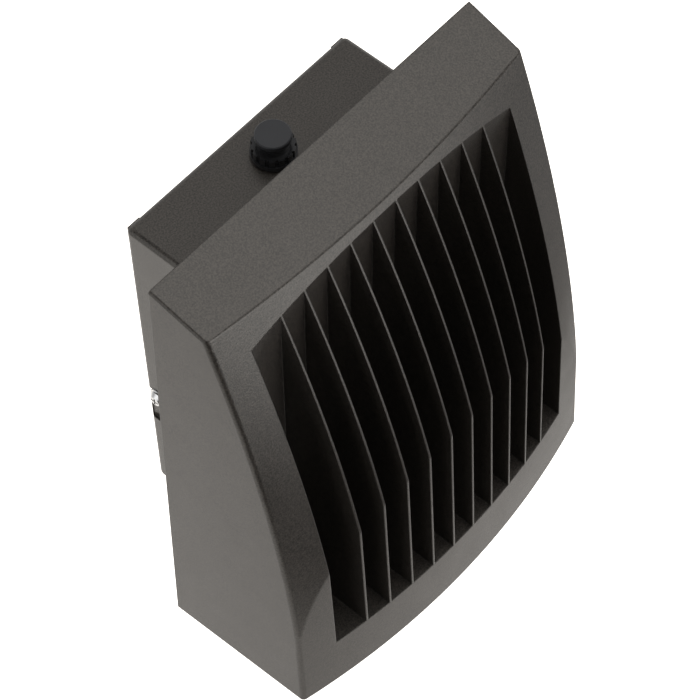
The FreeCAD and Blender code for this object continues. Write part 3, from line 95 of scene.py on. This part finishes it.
class Surface:
    """One procedural material, whose patterns lie in the part's own coordinates."""

    def __init__(self, name):
        self.material = bpy.data.materials.new(name)
        self.material.use_nodes = True
        self.tree = self.material.node_tree
        self.place = self.add("ShaderNodeTexCoord").outputs["Object"]
        self.normal = None

    def add(self, kind, **inputs):
        return add_node(self.tree, kind, **inputs)

    def noise(self, scale, detail=3.0, roughness=0.5):
        """A random tone. The scale is in grains to the metre."""
        pattern = dict(Vector=self.place, Scale=scale, Detail=detail, Roughness=roughness)
        return self.add("ShaderNodeTexNoise", **pattern).outputs["Fac"]

    def two_tones(self, source, first, second, start=0.3, end=0.7):
        """One colour below start, the other above end, and a blend between."""
        node = self.add("ShaderNodeValToRGB", Fac=source)
        for stop, position, color in zip(node.color_ramp.elements, (start, end), (first, second)):
            stop.position = position
            stop.color = (*color, 1.0)
        return node.outputs["Color"]

    def between(self, source, low, high):
        return self.add("ShaderNodeMapRange", Value=source, To_Min=low, To_Max=high).outputs["Result"]

    def soften_edges(self, radius, samples):
        """Lets light round the sharp edges. It comes before the bumps."""
        node = self.add("ShaderNodeBevel", Radius=radius)
        node.samples = samples
        self.set_normal(node)

    def bump(self, height, strength, depth):
        """Relief on top of the relief so far."""
        node = self.add("ShaderNodeBump", Height=height, Strength=strength, Distance=depth)
        if self.normal is not None:
            feed(self.tree, node.inputs["Normal"], self.normal)
        self.set_normal(node)

    def set_normal(self, node):
        self.normal = node.outputs["Normal"]
        self.finish(Normal=self.normal)

    def finish(self, **inputs):
        """Feeds the Principled shader."""
        for name, value in inputs.items():
            feed(self.tree, self.tree.nodes["Principled BSDF"].inputs[name.replace("_", " ")], value)


def shade(color, factor):
    return tuple(min(1.0, channel * factor) for channel in color)


def powder_coat(name, color, roughness, grain=1000.0, gloss=0.5, dark=0.82, light=1.2):
    """Baked powder: fine speckle and grain, faint waves, and a warm sheen."""
    surface = Surface(name)
    speckle = surface.noise(grain, detail=2.0, roughness=0.6)
    surface.finish(
        Base_Color=surface.two_tones(speckle, shade(color, dark), shade(color, light), start=0.35, end=0.65),
        Roughness=surface.between(surface.noise(60.0), low=roughness - 0.04, high=roughness + 0.04),
        Specular_IOR_Level=gloss,
        Specular_Tint=(1.0, 0.96, 0.9),
    )
    surface.soften_edges(radius=0.0009, samples=6)
    surface.bump(surface.noise(grain, roughness=0.6), strength=0.6, depth=0.00018)
    surface.bump(surface.noise(45.0, detail=2.0), strength=0.1, depth=0.0004)
    return surface.material


def metal(name, color, roughness, scratches=500.0):
    """Bare or plated metal, a little uneven in tone and polish."""
    surface = Surface(name)
    wear = surface.noise(scratches, detail=4.0)
    polish = surface.noise(scratches * 0.6)
    surface.finish(
        Base_Color=surface.two_tones(wear, shade(color, 0.88), color),
        Roughness=surface.between(polish, low=roughness * 0.75, high=roughness * 1.3),
        Metallic=1.0,
    )
    surface.bump(surface.noise(scratches * 2.0, detail=2.0), strength=0.08, depth=0.00005)
    return surface.material


def plastic(name, color, roughness, grain=900.0, relief=0.12, clear=0.0):
    """Moulded plastic or rubber. Clear is the share of light that goes through."""
    surface = Surface(name)
    clouds = surface.noise(grain * 0.2)
    polish = surface.noise(grain * 0.1)
    surface.finish(
        Base_Color=surface.two_tones(clouds, shade(color, 0.9), shade(color, 1.06)),
        Roughness=surface.between(polish, low=roughness * 0.85, high=roughness * 1.15),
        Transmission_Weight=clear,
        IOR=1.49,
    )
    surface.bump(surface.noise(grain, detail=2.0), strength=relief, depth=0.00008)
    return surface.material


def solder_mask(name):
    """White solder mask over faint copper fields."""
    surface = Surface(name)
    fields = surface.add(
        "ShaderNodeTexBrick",
        Vector=surface.place,
        Scale=1.0,
        Brick_Width=0.014,
        Row_Height=0.016,
        Mortar_Size=0.0006,
        Color1=(0.86, 0.86, 0.84),
        Color2=(0.83, 0.83, 0.82),
        Mortar=(0.72, 0.72, 0.69),
    )
    surface.finish(
        Base_Color=fields.outputs["Color"],
        Roughness=surface.between(surface.noise(400.0), low=0.35, high=0.5),
    )
    surface.bump(fields.outputs["Fac"], strength=0.2, depth=0.00005)
    return surface.material


BRONZE = (0.021, 0.0178, 0.0152)
DRIVER_WHITE = (0.7, 0.71, 0.7)
ORANGE = (0.85, 0.32, 0.05)
CAP_BLACK = (0.014, 0.0145, 0.017)
CLEAR = (0.95, 0.96, 0.97)

# How each material slot of the record is made: its maker and what that is told
MATERIALS = {
    "bronze_powder_coat": (powder_coat, dict(color=BRONZE, roughness=0.32, gloss=0.65, dark=0.2, light=2.2)),
    "driver_white": (powder_coat, dict(color=DRIVER_WHITE, roughness=0.4, grain=900.0)),
    "zinc_steel": (metal, dict(color=(0.58, 0.6, 0.62), roughness=0.34, scratches=160.0)),
    "chrome": (metal, dict(color=(0.8, 0.8, 0.8), roughness=0.12)),
    "stainless": (metal, dict(color=(0.6, 0.6, 0.59), roughness=0.28)),
    "green_screw": (metal, dict(color=(0.08, 0.34, 0.12), roughness=0.35)),
    "silicone_rubber": (plastic, dict(color=(0.42, 0.42, 0.4), roughness=0.7)),
    "black_rubber": (plastic, dict(color=(0.018, 0.018, 0.018), roughness=0.75)),
    "surge_grey": (plastic, dict(color=(0.12, 0.125, 0.135), roughness=0.5, grain=1200.0, relief=0.25)),
    "clear_orange": (plastic, dict(color=ORANGE, roughness=0.2, grain=300.0, relief=0.05, clear=0.5)),
    "red_insulation": (plastic, dict(color=(0.45, 0.02, 0.015), roughness=0.45)),
    "black_insulation": (plastic, dict(color=(0.015, 0.015, 0.015), roughness=0.45)),
    "white_insulation": (plastic, dict(color=(0.72, 0.72, 0.7), roughness=0.45)),
    "pad_grey": (plastic, dict(color=(0.22, 0.23, 0.25), roughness=0.8)),
    "led_yellow": (plastic, dict(color=(0.85, 0.62, 0.08), roughness=0.35)),
    "clear_acrylic": (plastic, dict(color=CLEAR, roughness=0.05, grain=200.0, relief=0.02, clear=0.95)),
    "clear_polycarbonate": (plastic, dict(color=CLEAR, roughness=0.06, grain=120.0, relief=0.02, clear=0.95)),
    "black_plastic": (plastic, dict(color=(0.012, 0.012, 0.013), roughness=0.22)),
    "photocell_cap_plastic": (plastic, dict(color=CAP_BLACK, roughness=0.55, grain=700.0, relief=0.2)),
    "board_white": (solder_mask, {}),
}


def dress_nodes():
    """Gives each CAD node the material of its slot."""
    made = {slot: make(slot, **settings) for slot, (make, settings) in MATERIALS.items()}
    for entry in frame["record"]["subparts"]:
        materials = frame["nodes"][entry["node"]].data.materials
        materials.clear()
        materials.append(made[entry["material_slot"]])


# ---- Camera ----

# Where it stands, how it is turned (degrees), and its lens, sensor (mm) and reach
CAMERA_PLACE = (-0.60790, -0.61767, 1.24633)
CAMERA_TURN = (32.83455, 0.18053, -48.86046)
CAMERA_LENS = 133.48
CAMERA_SENSOR = 36.0
CAMERA_NEAR = 0.05
CAMERA_FAR = 20.0


def set_camera():
    data = bpy.data.cameras.new("camera")
    data.lens = CAMERA_LENS
    data.sensor_width = CAMERA_SENSOR
    data.clip_start = CAMERA_NEAR
    data.clip_end = CAMERA_FAR
    data.dof.use_dof = False
    camera = bpy.data.objects.new("camera", data)
    camera.location = CAMERA_PLACE
    camera.rotation_euler = Euler([math.radians(angle) for angle in CAMERA_TURN], "XYZ")
    scene.collection.objects.link(camera)
    scene.camera = camera
    scene.view_settings.view_transform = "Standard"
    scene.view_settings.look = "None"


# ---- Floor ----

# The pale sheet: its middle, size, height, colour and brightness
FLOOR_MIDDLE = (0.15, 0.53)
FLOOR_SIZE = (2.7, 2.04)
FLOOR_HEIGHT = -0.5
PAPER_COLOR = (1.0, 0.965, 0.92)
FLOOR_BRIGHTNESS = 1.15

# Level directions towards the right of the picture and towards the camera
CAMERA_YAW = math.radians(CAMERA_TURN[2])
PICTURE_RIGHT = (math.cos(CAMERA_YAW), math.sin(CAMERA_YAW), 0.0)
TOWARDS_CAMERA = (math.sin(CAMERA_YAW), -math.cos(CAMERA_YAW), 0.0)

# Where the light that the sheet casts falls off
FLOOR_FALLS = [
    Step(PICTURE_RIGHT, start=0.38, end=0.5, before=1.0, after=0.3),
    Step(TOWARDS_CAMERA, start=0.06, end=0.3, before=1.0, after=0.72),
]


def floor_material():
    """Paper that looks evenly bright, casts most light from its middle, and is clear from below."""
    material = bpy.data.materials.new("floor_pale")
    material.use_nodes = True
    tree = material.node_tree
    tree.nodes.clear()
    geometry = tree.nodes.new("ShaderNodeNewGeometry")
    falls = [step_value(tree, geometry.outputs["Position"], fall) for fall in FLOOR_FALLS]
    cast = combine(tree, "MULTIPLY", FLOOR_BRIGHTNESS, falls)
    shown = combine(tree, "ADD", cast, [is_camera_ray(tree)])
    paper = add_node(tree, "ShaderNodeEmission", Color=PAPER_COLOR, Strength=shown)
    clear = tree.nodes.new("ShaderNodeBsdfTransparent")
    surface = mix_shaders(tree, geometry.outputs["Backfacing"], paper, clear)
    add_node(tree, "ShaderNodeOutputMaterial", Surface=surface)
    return material


def set_floor():
    """A pale sheet below the light, wide enough to fill the picture."""
    bpy.ops.mesh.primitive_plane_add(size=1.0, location=(*FLOOR_MIDDLE, FLOOR_HEIGHT))
    floor = bpy.context.object
    floor.name = "floor"
    floor.scale = (*FLOOR_SIZE, 1.0)
    floor.data.materials.append(floor_material())


# ---- Light ----

# Soft areas of light around the object: each grows between two cosines of the angle from its direction
SOFT_LIGHTS = {
    "overhead": Step((0.2, -0.2, 0.96), start=0.72, end=0.97, before=0.0, after=1.9),
    "front": Step((0.17, -0.985, 0.0), start=0.87, end=0.96, before=0.0, after=3.0),
    "low_right": Step((0.8, -0.55, -0.25), start=0.8, end=0.97, before=0.0, after=0.5),
    "behind": Step((0.1, 0.95, 0.25), start=0.5, end=0.9, before=0.0, after=0.8),
    "right": Step((0.95, 0.15, 0.1), start=0.75, end=0.97, before=0.0, after=1.2),
    "left": Step((-0.95, 0.15, 0.1), start=0.75, end=0.97, before=0.0, after=1.2),
}
WHITE = (1.0, 1.0, 1.0)
ROOM_BRIGHTNESS = 0.05
BACKDROP_BRIGHTNESS = 1.1


def set_light():
    """A dim room with a few large soft areas of light, behind a plain white backdrop."""
    world = bpy.data.worlds.new("studio")
    world.use_nodes = True
    tree = world.node_tree
    tree.nodes.clear()
    way = tree.nodes.new("ShaderNodeTexCoord").outputs["Generated"]
    areas = [step_value(tree, way, area) for area in SOFT_LIGHTS.values()]
    strength = combine(tree, "ADD", ROOM_BRIGHTNESS, areas)
    room = add_node(tree, "ShaderNodeBackground", Color=WHITE, Strength=strength)
    backdrop = add_node(tree, "ShaderNodeBackground", Color=WHITE, Strength=BACKDROP_BRIGHTNESS)
    add_node(tree, "ShaderNodeOutputWorld", Surface=mix_shaders(tree, is_camera_ray(tree), room, backdrop))
    scene.world = world


set_camera()
dress_nodes()
set_floor()
set_light()
